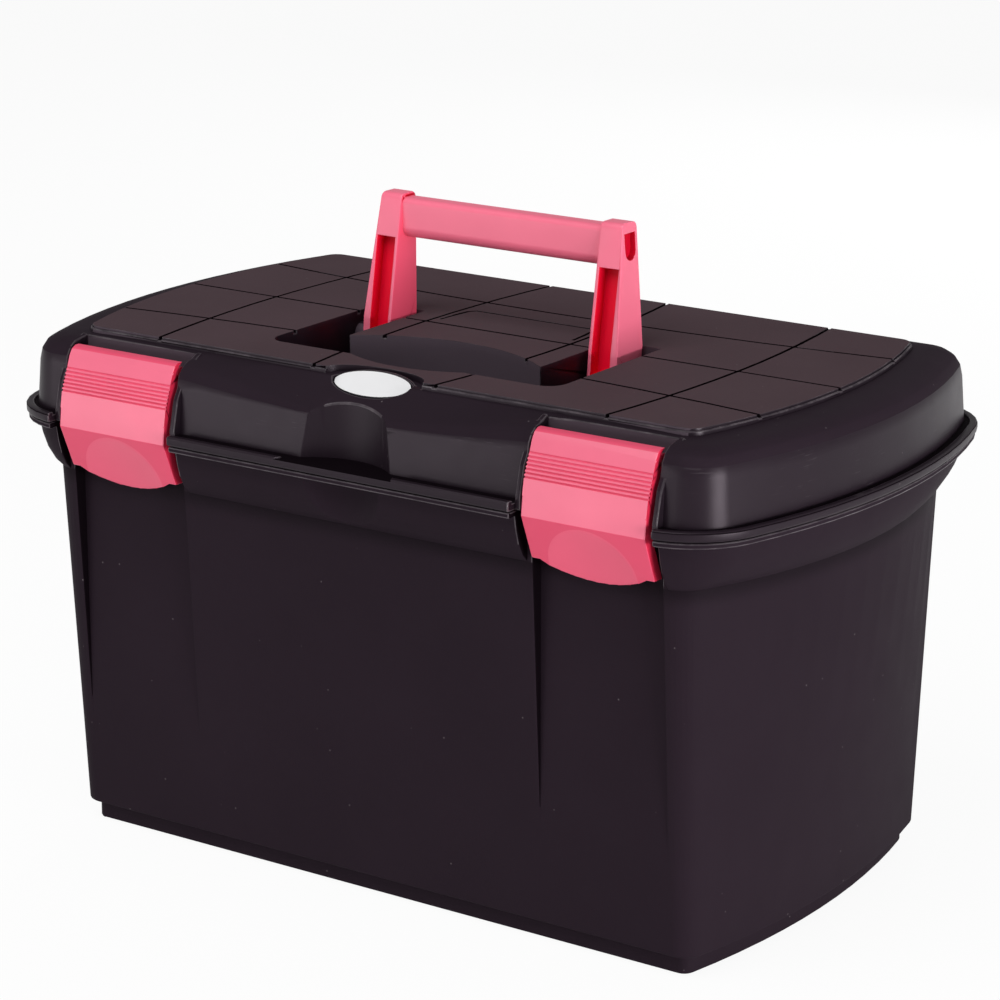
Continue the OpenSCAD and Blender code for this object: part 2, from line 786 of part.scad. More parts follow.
// U-shaped trough round the island that the handle folds into
module handle_trough(grow) {
    low = trough_floor - grow;
    high = lid_top + overrun;
    front = trough_front - grow;
    half_l = trough_half_l + grow;
    r = trough_r + grow;
    well = concat(
        [[half_l, island_front], [-half_l, island_front]],
        arc(-half_l + r, front + r, r, 180, 270, corner_steps),
        arc(half_l - r, front + r, r, 270, 360, corner_steps),
        [[half_l, front + r]]
    );
    plate(well, low, high);
    for (side = sides)
        box(
            [side > 0 ? island_half_l - grow : -half_l, island_front - overrun, low],
            [side > 0 ? half_l : grow - island_half_l, trough_rear + grow, high]
        );
    intersection() {
        translate([0, island_front + island_hollow - island_hollow_r, low])
            cylinder(r = island_hollow_r + grow, h = high - low);
        box([-island_half_l - overrun, island_front - overrun, low],
            [island_half_l + overrun, island_front + island_hollow + grow + overrun, high]);
    }
    intersection() {
        translate([0, trough_front - finger_hollow + finger_r, low])
            cylinder(r = finger_r + grow, h = high - low);
        box([-half_l + r, front - finger_hollow - overrun, low], [half_l - r, front + r, high]);
    }
}

// Bosses on the outer walls of the trough that carry the handle pins
module handle_bosses() {
    length = leg_outer_gap - boss_gap + lid_t / 2;
    for (side = sides)
        bar_x(side * (leg_out + boss_gap + length / 2), pivot_y, pivot_z, boss_r, length);
}

// Bars along the handle pivot, one for each leg
module handle_bars(r, extra) {
    low = island_half_l - lid_t;
    high = trough_half_l + lid_t;
    for (side = sides)
        bar_x(side * (low + high) / 2, pivot_y, pivot_z, r, high - low + 2 * extra);
}

// Bars along the latch pivots, from frame to frame
module latch_bars(r, extra) {
    for (side = sides)
        bar_x(side * latch_x, -latch_pin_y, latch_pin_z, r, 2 * (notch_half_w + extra));
}

module lid_hinges() {
    root_y = lid_wall_half_d - lid_t / 2;
    for (side = sides) {
        bar_x(side * hinge_x, hinge_y, hinge_z, hinge_r, lid_knuckle_l);
        along_x(side * hinge_x, lid_knuckle_l)
            polygon([
                [root_y, lid_base],
                [hinge_y, lid_base],
                [hinge_y, hinge_z + hinge_r],
                [root_y, bead_top]
            ]);
    }
}

// Slanted place of the badge on the front shoulder
module at_badge() {
    translate([0, -badge_y, badge_z])
        rotate([badge_tilt, 0, 0])
            children();
}

module badge_pad() {
    at_badge()
        translate([0, 0, -pad_depth])
            linear_extrude(pad_depth)
                polygon(ellipse(badge_half_l + badge_rim, badge_half_h + badge_rim));
}

// Notch in the panel round the pad, and the recess that the badge sits in
module badge_seat() {
    difference() {
        translate([0, -badge_y, shoulder_z])
            linear_extrude(panel_rise + overrun)
                polygon(ellipse(badge_half_l + badge_notch_l, badge_half_h + badge_notch_d));
        badge_pad();
    }
    at_badge()
        translate([0, 0, -badge_t / 2])
            linear_extrude(panel_rise + overrun)
                polygon(ellipse(badge_half_l + badge_fit, badge_half_h + badge_fit));
}

module badge() {
    color("white")
        at_badge()
            translate([0, 0, -badge_t / 2])
                linear_extrude(badge_t)
                    polygon(ellipse(badge_half_l, badge_half_h));
}

// Depth of a leg's front face at a height
function leg_face(z) =
    let (share = (z - lid_top) / handle_h)
    pivot_y - leg_front + (leg_front - head_front) * share;

module handle() {
    color(pink)
        difference() {
            union() {
                for (side = sides)
                    handle_leg(side);
                handle_grip();
            }
            for (side = sides) {
                leg_pocket(side * (leg_in + pocket_rim + pocket_w / 2));
                leg_recess(side * leg_outer_x(handle_top - recess_drop));
            }
            handle_bars(handle_pin_r + bore_fit, overrun);
        }
}

// Distance of a leg's outer face from the middle at a height
function leg_outer_x(z) = leg_out - leg_taper * max(0, z - lid_top) / handle_h;

// Leg with its foot round the pivot, thinned towards the head
module handle_leg(side) {
    rear = pivot_y + leg_back;
    head = leg_face(handle_top);
    low = pivot_z - foot_r - overrun;
    high = handle_top + overrun;
    intersection() {
        union() {
            bar_x(side * (leg_in + leg_out) / 2, pivot_y, pivot_z, foot_r, leg_t);
            along_x(side * (leg_in + leg_out) / 2, leg_t)
                polygon(concat(
                    [[pivot_y - foot_r, pivot_z], [pivot_y + foot_r, pivot_z], [rear, lid_top]],
                    arc(rear - leg_head_r, handle_top - leg_head_r, leg_head_r, 0, 90, corner_steps),
                    arc(head + leg_head_r, handle_top - leg_head_r, leg_head_r, 90, 180, corner_steps),
                    [[head, handle_top - leg_head_r], [leg_face(lid_top), lid_top]]
                ));
        }
        translate([0, rear + foot_r, 0])
            rotate([90, 0, 0])
                linear_extrude(rear + 3 * foot_r - pivot_y)
                    polygon([
                        [side * (leg_in - overrun), low],
                        [side * (leg_out + overrun), low],
                        [side * (leg_out + overrun), lid_top],
                        [side * leg_out, lid_top],
                        [side * leg_outer_x(high), high],
                        [side * (leg_in - overrun), high]
                    ]);
    }
}

module handle_grip() {
    front = leg_face(grip_top) + grip_back;
    rear = pivot_y + leg_back - grip_back / 2;
    low = grip_top - grip_h;
    top_r = leg_head_r;
    along_x(0, hand_gap + leg_t)
        polygon(concat(
            arc(front + grip_r, low + grip_r, grip_r, 180, 270, corner_steps),
            arc(rear - grip_r, low + grip_r, grip_r, 270, 360, corner_steps),
            arc(rear - top_r, grip_top - top_r, top_r, 0, 90, corner_steps),
            arc(front + top_r, grip_top - top_r, top_r, 90, 180, corner_steps),
            [[front, grip_top - top_r]]
        ));
}

// Pocket in the front face of a leg, down to the pivot and in front of its bore
module leg_pocket(x) {
    high = lid_top + pocket_h;
    wide_y = leg_face(lid_top) + pocket_d;
    bore_y = pivot_y - handle_pin_r - bore_fit - pocket_rim;
    along_x(x, pocket_w)
        polygon([
            [pivot_y - foot_r - overrun, pivot_z],
            [min(wide_y, bore_y), pivot_z],
            [wide_y, lid_top],
            [leg_face(high) + pocket_d, high],
            [leg_face(high) - overrun, high]
        ]);
}

// Rounded recess in the outer face of a leg head
module leg_recess(x) {
    mid_y = pivot_y + leg_back - recess_rear - recess_w / 2;
    high = handle_top - recess_drop;
    low = high - recess_h + recess_w / 2;
    bar_x(x, mid_y, low, recess_w / 2, 2 * recess_d);
    box([x - recess_d, mid_y - recess_w / 2, low], [x + recess_d, mid_y + recess_w / 2, high]);
}

module handle_pins() {
    color(steel)
        handle_bars(handle_pin_r, 0);
}

// Points down the outer face of a latch, from its top edge to its crease
function latch_face(share_out, share_down) = [
    -latch_top_y - (latch_crease_y - latch_top_y) * share_out,
    latch_top_z - latch_upper_h * share_down
];

// Section of a latch with a given thickness, from one of the points of its face downwards
function latch_section(thick, first = 0) =
    let (
        upper = [for (i = [first : len(latch_out_shares) - 1])
            latch_face(latch_out_shares[i], latch_down_shares[i])],
        face = concat(upper, [[-latch_low_y, latch_low_z]])
    )
    concat(face, [for (i = [len(face) - 1 : -1 : 0]) face[i] + [thick, 0]]);

module latch(x) {
    difference() {
        union() {
            along_x(x, latch_w)
                polygon(latch_section(latch_t));
            for (end = sides)
                along_x(x + end * (latch_half_w - latch_t / 2), latch_t)
                    polygon(latch_section(latch_side_d, 2));
            bar_x(x, -latch_pin_y, latch_pin_z, barrel_r, latch_w);
            latch_hook(x);
            at_slant(x)
                thumb_lip();
        }
        at_slant(x)
            thumb_dish();
        grip_grooves(x);
        bar_x(x, -latch_pin_y, latch_pin_z, latch_pin_r + bore_fit, latch_w + 2 * overrun);
    }
}

// Frame on the foot of a latch: X across, Y up the slanted face, Z outwards
module at_slant(x) {
    translate([x, -latch_low_y, latch_low_z])
        rotate([90 + slant_angle, 0, 0])
            children();
}

module thumb_lip() {
    lip_r = arc_r(lip_half_w, lip_h);
    half_turn = asin(lip_half_w / lip_r);
    translate([0, 0, -latch_t])
        linear_extrude(latch_t)
            polygon(concat(
                arc(0, lip_r - lip_h, lip_r, 270 - half_turn, 270 + half_turn, curve_steps),
                [[lip_half_w, 0], [lip_half_w, latch_t], [-lip_half_w, latch_t]]
            ));
}

module thumb_dish() {
    ball_r = arc_r(dish_r, dish_d);
    translate([0, -dish_low, ball_r - dish_d])
        sphere(r = ball_r);
}

module grip_grooves(x) {
    top = latch_face(latch_out_shares[3], rib_top_share);
    low = latch_face(latch_out_shares[4], rib_low_share);
    for (i = [0 : rib_count - 1]) {
        p = top + (low - top) * i / (rib_count - 1);
        bar_x(x, p.x, p.y, rib_r, latch_w + 2 * overrun);
    }
}

// Hook that snaps under the catch, with its tip kept just clear of it
module latch_hook(x) {
    box(
        [x - catch_half_w, -latch_low_y, hook_z],
        [x + catch_half_w, -channel_y - catch_out - seat_gap, hook_z + catch_h]
    );
}

module latch_left() {
    color(pink)
        latch(-latch_x);
}

module latch_right() {
    color(pink)
        latch(latch_x);
}

module latch_pins() {
    color(steel)
        latch_bars(latch_pin_r, 0);
}

module hinge_pins() {
    color(steel)
        hinge_bars(hinge_pin_r, 0);
}

module tray() {
    floor_z = tray_z - tray_h;
    color("dimgray")
        union() {
            difference() {
                union() {
                    plate(tray_ring(0), floor_z, tray_z + tray_flange_t);
                    plate(tray_ring(0, tray_gap + tray_lap), tray_z, tray_z + tray_flange_t);
                }
                plate(tray_ring(tray_t), floor_z + tray_t, tray_z + tray_flange_t + overrun);
            }
            for (side = sides)
                box(
                    [side * divider_x - tray_t / 2, -tray_half_d + tray_t / 2, floor_z + tray_t / 2],
                    [side * divider_x + tray_t / 2, tray_half_d - tray_t / 2, tray_z]
                );
        }
}

tub();
lid();
badge();
handle();
handle_pins();
latch_left();
latch_right();
latch_pins();
hinge_pins();
tray();
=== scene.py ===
import math

import bpy
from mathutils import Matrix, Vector
from mathutils.bvhtree import BVHTree
from mathutils.kdtree import KDTree


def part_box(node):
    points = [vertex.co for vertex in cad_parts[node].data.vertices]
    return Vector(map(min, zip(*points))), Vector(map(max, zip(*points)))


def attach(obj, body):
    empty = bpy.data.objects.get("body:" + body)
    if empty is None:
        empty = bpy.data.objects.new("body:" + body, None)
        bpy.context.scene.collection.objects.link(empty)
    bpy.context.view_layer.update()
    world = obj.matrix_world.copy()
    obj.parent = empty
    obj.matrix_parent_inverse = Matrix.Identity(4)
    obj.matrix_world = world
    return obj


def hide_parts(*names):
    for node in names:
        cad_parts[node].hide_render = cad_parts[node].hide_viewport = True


bl_info = {
    "name": "Grooming Box",
    "version": (1, 0, 0),
    "blender": (4, 5, 0),
    "location": "3D View > Sidebar > Grooming Box",
    "description": "Dresses the packed grooming box with rounded mouldings and moulded finishes",
    "category": "Object",
}

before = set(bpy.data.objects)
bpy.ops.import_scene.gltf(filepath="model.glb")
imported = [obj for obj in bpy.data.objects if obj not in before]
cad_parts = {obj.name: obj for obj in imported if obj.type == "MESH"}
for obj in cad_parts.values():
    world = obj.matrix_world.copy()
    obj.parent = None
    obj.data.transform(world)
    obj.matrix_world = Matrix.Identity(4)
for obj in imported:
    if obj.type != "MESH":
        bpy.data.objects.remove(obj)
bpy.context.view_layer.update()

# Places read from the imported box, in metres
LID_LOW, LID_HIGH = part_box("lid")
LATCH_LOW, LATCH_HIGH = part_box("latch_right")
HANDLE_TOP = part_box("handle")[1].z
BADGE_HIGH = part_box("badge")[1]
PANEL_Z = LID_HIGH.z
LATCH_X = (LATCH_LOW.x + LATCH_HIGH.x) / 2
LATCH_HALF = (LATCH_HIGH.x - LATCH_LOW.x) / 2

# Drops from the standing panel to the bead and to the foot of the collar, and depth of the bead's groove
BEAD_DROP = 0.0348
COLLAR_DROP = 0.0637
BEAD_GROOVE = 0.0009
BEAD_Z = PANEL_Z - BEAD_DROP
GROOVE_Z = BEAD_Z - BEAD_GROOVE
COLLAR_Z = PANEL_Z - COLLAR_DROP

# Heights that cut the latch channels of the tub into short lengths, so that their edges can fade out
CHANNEL_CUTS = (0.150, 0.130, 0.112, 0.096, 0.084, 0.075, 0.068, 0.063)

# Slots of the finishes on the mouldings, where every face starts as plain
PLAIN = 0
TUB_EDGE, TUB_CHANNEL = 1, 2
LID_EDGE, LID_PANEL, LID_POCKET, LID_GROOVE, LID_SHOULDER = 1, 2, 3, 4, 5
HANDLE_POCKET, HANDLE_INNER, HANDLE_RECESS = 1, 2, 3
LATCH_LOWER, LATCH_DISH, LATCH_SIDE = 1, 2, 3
BADGE_RIM = 1
NO_SLOT = -1

# Where the finishes change, in metres
WORN_RIM = 0.012
CHANNEL_BACK = -0.08
CHANNEL_INSIDE = 0.003
CHANNEL_OUTSIDE = 0.006
LEVEL = 0.0003
TILE_EDGE = 0.0002
TILE_GROOVE = 0.002
BADGE_MARGIN = 0.006
POCKET_HALF = 0.033
POCKET_FRONT = -0.108
POCKET_BACK = -0.085
WELL_HALF_L = 0.11
WELL_HALF_D = 0.07
SHOULDER_FOOT = 0.006
RECESS_DROP = 0.026
CREASE_DROP = 0.035
DISH_DEPTH = 0.00006

# Parts of a unit normal past which a face looks to that side
CHANNEL_SIDEWAYS = 0.85
SIDEWAYS = 0.8
LATCH_UP = 0.78
UP = 0.5
SHOULDER_UP = 0.4
POCKET_FORWARD = 0.6
WELL_FORWARD = 0.5
SLANT_FORWARD = 0.4

# Turns past which a face is no longer in the latch dish or on the badge face, in radians
DISH_TURN = 0.5
BADGE_TURN = 0.12

# How far a face looks for what shelters it, in metres, and the share that has to be hidden
GROOVE_SHELTER = (0.003, 0.3)
POCKET_SHELTER = (0.02, 0.3)
LATCH_SHELTER = (0.004, 0.18)
# Rings of rays round the normal, each with its count and its lean in radians, and their start above the face
RAY_RINGS = ((6, 0.5), (8, 0.9), (10, 1.2))
RAY_LIFT = 0.00005

# Tolerances for the moulded copies
MERGE = 0.00001
FLAT = math.radians(0.2)
SHARP = math.radians(24)
PLATE_SHARP = math.radians(50)
# Turn past which a rounded edge keeps the worn finish with its painted highlight
WORN = math.radians(50)
SMOOTH = math.radians(40)
TUB_SMOOTH = math.radians(20)

# Rounding of the edges
WEIGHTS = "bevel_weight_edge"
ROUNDING_STEPS = 2
ROUNDING_TRIES = 5
EDGE_STEP = 0.001
SAME_WAY = 0.3
ROOM_SHARED = 0.42
ROOM_ALONE = 0.8
CRISP_SHARE = 0.35
LEAST_SHARE = 0.05
STRAY_SHARE = 0.6
STRAY_REACH = 4
TINY = 1e-18

# Tint of the gloss on the black plastic, and the colours of what lies on it
BLACK_SHEEN = (1.0, 0.87, 0.97)
DUST_COLOUR = (0.22, 0.19, 0.20)
SCUFF_COLOUR = (0.060, 0.050, 0.057)

# Sizes in the finishes, in metres
MOTTLE_SIZE = 0.06
GLOSS_SIZE = 0.02
DUST_SIZE = 0.011
SCUFF_WIDTH = 0.0011
SCUFF_PATCH = 0.035
SCUFF_STRETCH = (0.10, 0.10, 1.5)
# Height of the painted shade below a crease, and its fade above the crease
CREASE_SHADE_HEIGHT = 0.009
CREASE_SHADE_EDGE = 0.0006
RUB_SIZE = 0.012
STREAK_SIZE = 0.0006
STREAK_STRETCH = (0.05, 1, 1)
PAPER_SIZE = 0.4

# Floor, and how much of its white is seen straight on and in reflections
FLOOR_SIZE = 80
FLOOR_Z = -0.0004
FLOOR_WHITE = 0.93
MIRROR_SHARE = 0.55

# Each lamp's name, place, size, power in watts and whether glossy surfaces show it, and what the lamps aim at
LAMPS = (
    ("right softbox", (1.47, -0.33, 0.22), (0.75, 0.30), 17, True),
    ("left softbox", (-0.95, -1.30, 0.20), (0.9, 0.30), 4.2, True),
    ("top softbox", (-0.1, -0.85, 1.55), (1.2, 1.2), 16.5, True),
    ("rear softbox", (-0.2, 1.80, 0.70), (1.4, 0.8), 14, False),
)
LAMP_AIM = Vector((0, 0, 0.15))
SENSOR_WIDTH = 36


def colour_property(name, description, default):
    """A linear colour that a user can change."""
    return bpy.props.FloatVectorProperty(
        name=name, description=description, default=default, subtype="COLOR", size=3, min=0, max=1)


def length_property(name, description, default):
    """A length in metres that a user can change."""
    return bpy.props.FloatProperty(
        name=name, description=description, default=default, min=0, precision=4, unit="LENGTH")


class GroomingBoxFinishes(bpy.types.PropertyGroup):
    """Colours of the mouldings, the badge and the pins."""

    tub_black: colour_property("Tub", "Black of the tub and the lid shoulders", (0.0175, 0.0110, 0.0164))
    # Painted shade: near black for the sides of the latch channels, the groove behind the bead and the
    # grooves between the tiles
    groove_shade_black: colour_property(
        "Channels", "Black of the sides of the latch channels and of the lid grooves", (0.004, 0.002, 0.0035))
    lid_black: colour_property("Lid", "Black of the lid walls", (0.0130, 0.0078, 0.0122))
    panel_black: colour_property(
        "Panel", "Matte brown-black of the tiled standing panel", (0.063, 0.040, 0.047))
    # Painted light: a lighter black for the front-facing walls of the well and latch pockets, which lie in
    # shade
    pocket_lit_black: colour_property(
        "Pockets", "Dusty black of the front-facing walls of the well and pockets", (0.074, 0.055, 0.070))
    # Partly wear, partly a painted highlight: the lighter black of the rounded edges
    worn_highlight_black: colour_property("Edges", "Worn black of the rounded edges", (0.075, 0.060, 0.070))
    # Painted shade: the latches take this pink darkened a little, as they stand in brighter light than the
    # handle
    pink: colour_property(
        "Pink", "Pink of the handle, which is a little darker on the latches", (0.87, 0.159, 0.254))
    # Painted shade: a deeper pink for the inner sides of the handle legs, which face each other
    inner_shade_pink: colour_property(
        "Inner pink", "Pink of the inner sides of the handle legs", (0.98, 0.094, 0.178))
    # Painted shade: a darker pink for the lower slants, the sheltered ribs and the top faces of the latches
    low_shade_pink: colour_property("Low pink", "Pink of the lower halves of the latches", (0.74, 0.068, 0.143))
    # Painted shade: a deep red pink for the pockets of the handle, and darker still for its end recesses
    deep_shade_pink: colour_property("Deep pink", "Pink of the pockets in the handle", (0.80, 0.003, 0.030))
    # Painted shade: a dark red for the sides of the latches
    side_shade_pink: colour_property("Side pink", "Pink of the sides of the latches", (0.60, 0.020, 0.058))
    badge_white: colour_property("Badge", "White of the oval badge", (0.84, 0.84, 0.85))
    # Painted shade: a dark rim on the sides of the badge, standing in for the shaded gap round it
    badge_edge_shade: colour_property("Badge rim", "Dark rim of the oval badge", (0.016, 0.015, 0.018))
    steel: colour_property("Pins", "Steel of the pins", (0.46, 0.46, 0.47))
    tray_grey: colour_property("Tray", "Grey of the lift-out tray", (0.17, 0.17, 0.18))


class GroomingBoxEdges(bpy.types.PropertyGroup):
    """Radii of the rounded edges of the mouldings."""

    tub: length_property("Tub", "Radius of the edges of the tub", 0.0007)
    lid: length_property("Lid", "Radius of the edges of the lid", 0.0007)
    handle: length_property("Handle", "Radius of the edges of the handle", 0.0008)
    latch: length_property("Latches", "Radius of the edges of the latches", 0.0006)
    badge: length_property("Badge", "Radius of the edge of the badge", 0.0004)
    pin: length_property("Pins", "Radius of the ends of the pins", 0.0004)
    tray: length_property("Tray", "Radius of the edges of the tray", 0.0005)


class GroomingBoxStage(bpy.types.PropertyGroup):
    """Camera, ambient light and floor."""

    eye: bpy.props.FloatVectorProperty(
        name="Camera", description="Place of the camera", default=(0.868, -1.256, 0.604), unit="LENGTH")
    look: bpy.props.FloatVectorProperty(
        name="View", description="Direction that the camera looks in", default=(-0.5451, 0.7903, -0.2800),
        subtype="DIRECTION")
    lens: bpy.props.FloatProperty(
        name="Lens", description="Focal length of the camera in millimetres", default=126, min=10)
    daylight: bpy.props.FloatProperty(
        name="Ambient", description="Brightness of the light from all round", default=0.32, min=0)
    floor: colour_property("Floor", "Colour of the floor", (0.86, 0.86, 0.86))


class Wire:
    """A socket of a finish, with arithmetic that adds Math nodes."""

    def __init__(self, finish, socket):
        self.finish = finish
        self.socket = socket

    def math(self, operation, *values):
        return self.finish.math(operation, self, *values)

    def __add__(self, other):
        return self.finish.math("ADD", self, other)

    def __radd__(self, other):
        return self.finish.math("ADD", other, self)

    def __sub__(self, other):
        return self.finish.math("SUBTRACT", self, other)

    def __rsub__(self, other):
        return self.finish.math("SUBTRACT", other, self)

    def __mul__(self, other):
        return self.finish.math("MULTIPLY", self, other)

    def __rmul__(self, other):
        return self.finish.math("MULTIPLY", other, self)

    def step(self, low, high):
        """0 below low, 1 above high and a smooth slope between them."""
        return self.finish.node("ShaderNodeMapRange", {"interpolation_type": "SMOOTHSTEP"},
                                {"Value": self, "From Min": low, "From Max": high})


class Finish:
    """A material whose nodes are added by calls."""

    def __init__(self, name, **constants):
        self.material = bpy.data.materials.new(name)
        self.material.use_nodes = True
        self.tree = self.material.node_tree
        self.shader = self.tree.nodes["Principled BSDF"]
        for socket, value in constants.items():
            self.shader.inputs[socket.replace("_", " ")].default_value = value
        self.coordinates = None

    def node(self, kind, settings=None, inputs=None, output=0):
        """Adds a node with its settings and the values or links of its sockets."""
        made = self.tree.nodes.new(kind)
        for key, value in (settings or {}).items():
            setattr(made, key, value)
        for key, value in (inputs or {}).items():
            if isinstance(value, Wire):
                self.tree.links.new(value.socket, made.inputs[key])
            else:
                made.inputs[key].default_value = value
        return Wire(self, made.outputs[output])

    def math(self, operation, *values):
        return self.node("ShaderNodeMath", {"operation": operation}, dict(enumerate(values)))

    def place(self, stretch=(1, 1, 1)):
        """Object coordinates in metres, stretched along the axes."""
        if self.coordinates is None:
            self.coordinates = self.node("ShaderNodeTexCoord", output="Object")
        return self.node("ShaderNodeMapping", {}, {"Vector": self.coordinates, "Scale": stretch})

    def axis(self, name):
        """One axis of the place of a point, in metres."""
        return self.node("ShaderNodeSeparateXYZ", {}, {"Vector": self.place()}, name)

    def noise(self, size, detail=2.0, rough=0.5, stretch=(1, 1, 1)):
        """Soft noise whose blobs are about size across, from 0 to 1."""
        return self.node("ShaderNodeTexNoise", {}, {
            "Vector": self.place(stretch), "Scale": 1 / size, "Detail": detail, "Roughness": rough})

    def specks(self, size):
        """Distance from the nearest of scattered points about size apart, as a share of size."""
        return self.node("ShaderNodeTexVoronoi", {}, {"Vector": self.place(), "Scale": 1 / size}, "Distance")

    def blend(self, share, first, second):
        """Colour between the first and the second."""
        return self.node("ShaderNodeMix", {"data_type": "RGBA"}, {
            "Factor": share, 6: rgba(first), 7: rgba(second)}, 2)

    def bump(self, height, depth):
        """Turns a height from 0 to 1 into a relief of that depth in metres."""
        self.feed("Normal", self.node("ShaderNodeBump", {}, {"Height": height, "Distance": depth}))

    def feed(self, socket, wire):
        self.tree.links.new(wire.socket, self.shader.inputs[socket])


def rgba(colour):
    """A colour with its alpha, or a wire as it is."""
    return colour if isinstance(colour, Wire) else (*colour[:3], 1.0)


def shade(colour, factor):
    """The colour made lighter or darker."""
    return tuple(min(1.0, c * factor) for c in colour)


def mixed(first, second, share):
    """The colour between two others."""
    return tuple(a + (b - a) * share for a, b in zip(first, second))


def plastic(name, colour, roughness, specular, grain=0.0008, depth=0.00002,
            dust=0.0, sheen=(1, 1, 1), scuffs=0.0, crease=None):
    """Moulded plastic with a faint mottle, a spark-eroded grain and uneven gloss.

    It can also have specks of dust, scuffs, and painted shade below the height of a crease.
    """
    finish = Finish(name, Specular_IOR_Level=specular, Specular_Tint=rgba(sheen))
    mottle = finish.noise(MOTTLE_SIZE, 3)
    tone = finish.blend(mottle, shade(colour, 0.88), shade(colour, 1.12))
    if dust:
        speck = 1 - finish.specks(DUST_SIZE).step(0.02, 0.045)
        tone = finish.blend(speck * dust, tone, DUST_COLOUR)
    if scuffs:
        scratch = finish.noise(SCUFF_WIDTH, 2, 0.6, SCUFF_STRETCH).step(0.62, 0.72)
        worn = scratch * finish.noise(SCUFF_PATCH, 2).step(0.52, 0.66)
        tone = finish.blend(worn * scuffs, tone, SCUFF_COLOUR)
    # Painted shade: darkens a band just below the crease
    if crease:
        height = finish.axis("Z")
        crease_shade = height.step(crease - CREASE_SHADE_HEIGHT, crease) * (1 - height.step(crease, crease + CREASE_SHADE_EDGE))
        tone = finish.blend(crease_shade * 0.55, tone, shade(colour, 0.2))
    finish.feed("Base Color", tone)
    patch = finish.noise(GLOSS_SIZE, 4, 0.6)
    finish.feed("Roughness", roughness + (patch - 0.5) * 0.12)
    finish.bump(finish.noise(grain, 3, 0.6), depth)
    return finish


def worn_highlight_edge(name, black, colour):
    """Rounded edge that is lighter in patches, partly from wear and partly as a painted highlight."""
    finish = Finish(name, Specular_IOR_Level=0.35)
    rub = finish.noise(RUB_SIZE, 4, 0.7).step(0.32, 0.68)
    finish.feed("Base Color", finish.blend(rub, shade(black, 1.4), colour))
    finish.feed("Roughness", 0.48 - rub * 0.14)
    return finish


def pin_steel(colour):
    """Drawn steel with fine streaks along the pins."""
    finish = Finish("pin_steel", Metallic=1.0)
    streak = finish.noise(STREAK_SIZE, 2, 0.5, STREAK_STRETCH)
    finish.feed("Base Color", finish.blend(streak, shade(colour, 0.85), shade(colour, 1.15)))
    finish.feed("Roughness", 0.22 + streak * 0.2)
    return finish


def floor_paper(colour):
    """Pale paper that the camera and reflections see as nearly white, with the shadow left on it."""
    finish = Finish("floor_paper", Roughness=0.9, Specular_IOR_Level=0.1)
    finish.feed("Base Color", finish.blend(finish.noise(PAPER_SIZE), shade(colour, 0.99), colour))
    mirrored = finish.node("ShaderNodeLightPath", output="Is Glossy Ray")
    mirrored = mirrored + finish.node("ShaderNodeLightPath", output="Is Transmission Ray")
    seen = mirrored * MIRROR_SHARE + finish.node("ShaderNodeLightPath", output="Is Camera Ray")
    white = finish.node("ShaderNodeEmission", {}, {"Color": (1, 1, 1, 1), "Strength": 1.0})
    lit = Wire(finish, finish.shader.outputs[0])
    share = seen.math("MINIMUM", 1) * FLOOR_WHITE
    shown = finish.node("ShaderNodeMixShader", {}, {0: share, 1: lit, 2: white})
    finish.tree.links.new(shown.socket, finish.tree.nodes["Material Output"].inputs["Surface"])
    return finish


def activate(piece):
    """Makes the piece the only selected one."""
    bpy.ops.object.select_all(action="DESELECT")
    piece.select_set(True)
    bpy.context.view_layer.objects.active = piece


def copied(node, name, finishes, heights=()):
    """A piece with the merged mesh of a CAD node, its flat triangles joined, cut across at some heights."""
    piece = bpy.data.objects.new(name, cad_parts[node].data.copy())
    bpy.context.scene.collection.objects.link(piece)
    piece.data.materials.clear()
    for finish in finishes:
        piece.data.materials.append(finish.material)
    for face in piece.data.polygons:
        face.material_index = PLAIN
    activate(piece)
    bpy.ops.object.mode_set(mode="EDIT")
    bpy.ops.mesh.customdata_custom_splitnormals_clear()
    bpy.ops.mesh.select_all(action="SELECT")
    bpy.ops.mesh.remove_doubles(threshold=MERGE)
    bpy.ops.mesh.dissolve_limited(angle_limit=FLAT)
    for height in heights:
        bpy.ops.mesh.select_all(action="SELECT")
        bpy.ops.mesh.bisect(plane_co=(0, 0, height), plane_no=(0, 0, 1))
    bpy.ops.object.mode_set(mode="OBJECT")
    return piece


def surface_of(mesh):
    """The faces of a mesh, to be looked up by place or by ray."""
    return BVHTree.FromPolygons(
        [vertex.co for vertex in mesh.vertices], [face.vertices for face in mesh.polygons])


def gap_between(first, second):
    """Distance between two edges that don't cross."""
    gaps = []
    for (a, b), others in ((first, second), (second, first)):
        along = b - a
        for point in others:
            share = max(0.0, min(1.0, (point - a).dot(along) / max(along.length_squared, TINY)))
            gaps.append((a + along * share - point).length)
    return min(gaps)


def rims(mesh):
    """Each face with the ends and the number of every edge round it."""
    by_ends = {edge.key: edge.index for edge in mesh.edges}
    for face in mesh.polygons:
        ends = list(face.vertices)
        yield face, [(a, b, by_ends[min(a, b), max(a, b)]) for a, b in zip(ends, ends[1:] + ends[:1])]


def outer_edges(mesh):
    """The turn at each selected edge that stands out, and none that lies in a corner."""
    places = [vertex.co for vertex in mesh.vertices]
    first, outer = {}, {}
    for face, rim in rims(mesh):
        for a, b, edge in rim:
            if edge not in first:
                first[edge] = face.normal, places[b] - places[a]
            elif mesh.edges[edge].select:
                normal, along = first[edge]
                if normal.cross(face.normal).dot(along) > 0:
                    outer[edge] = normal.angle(face.normal)
    return outer


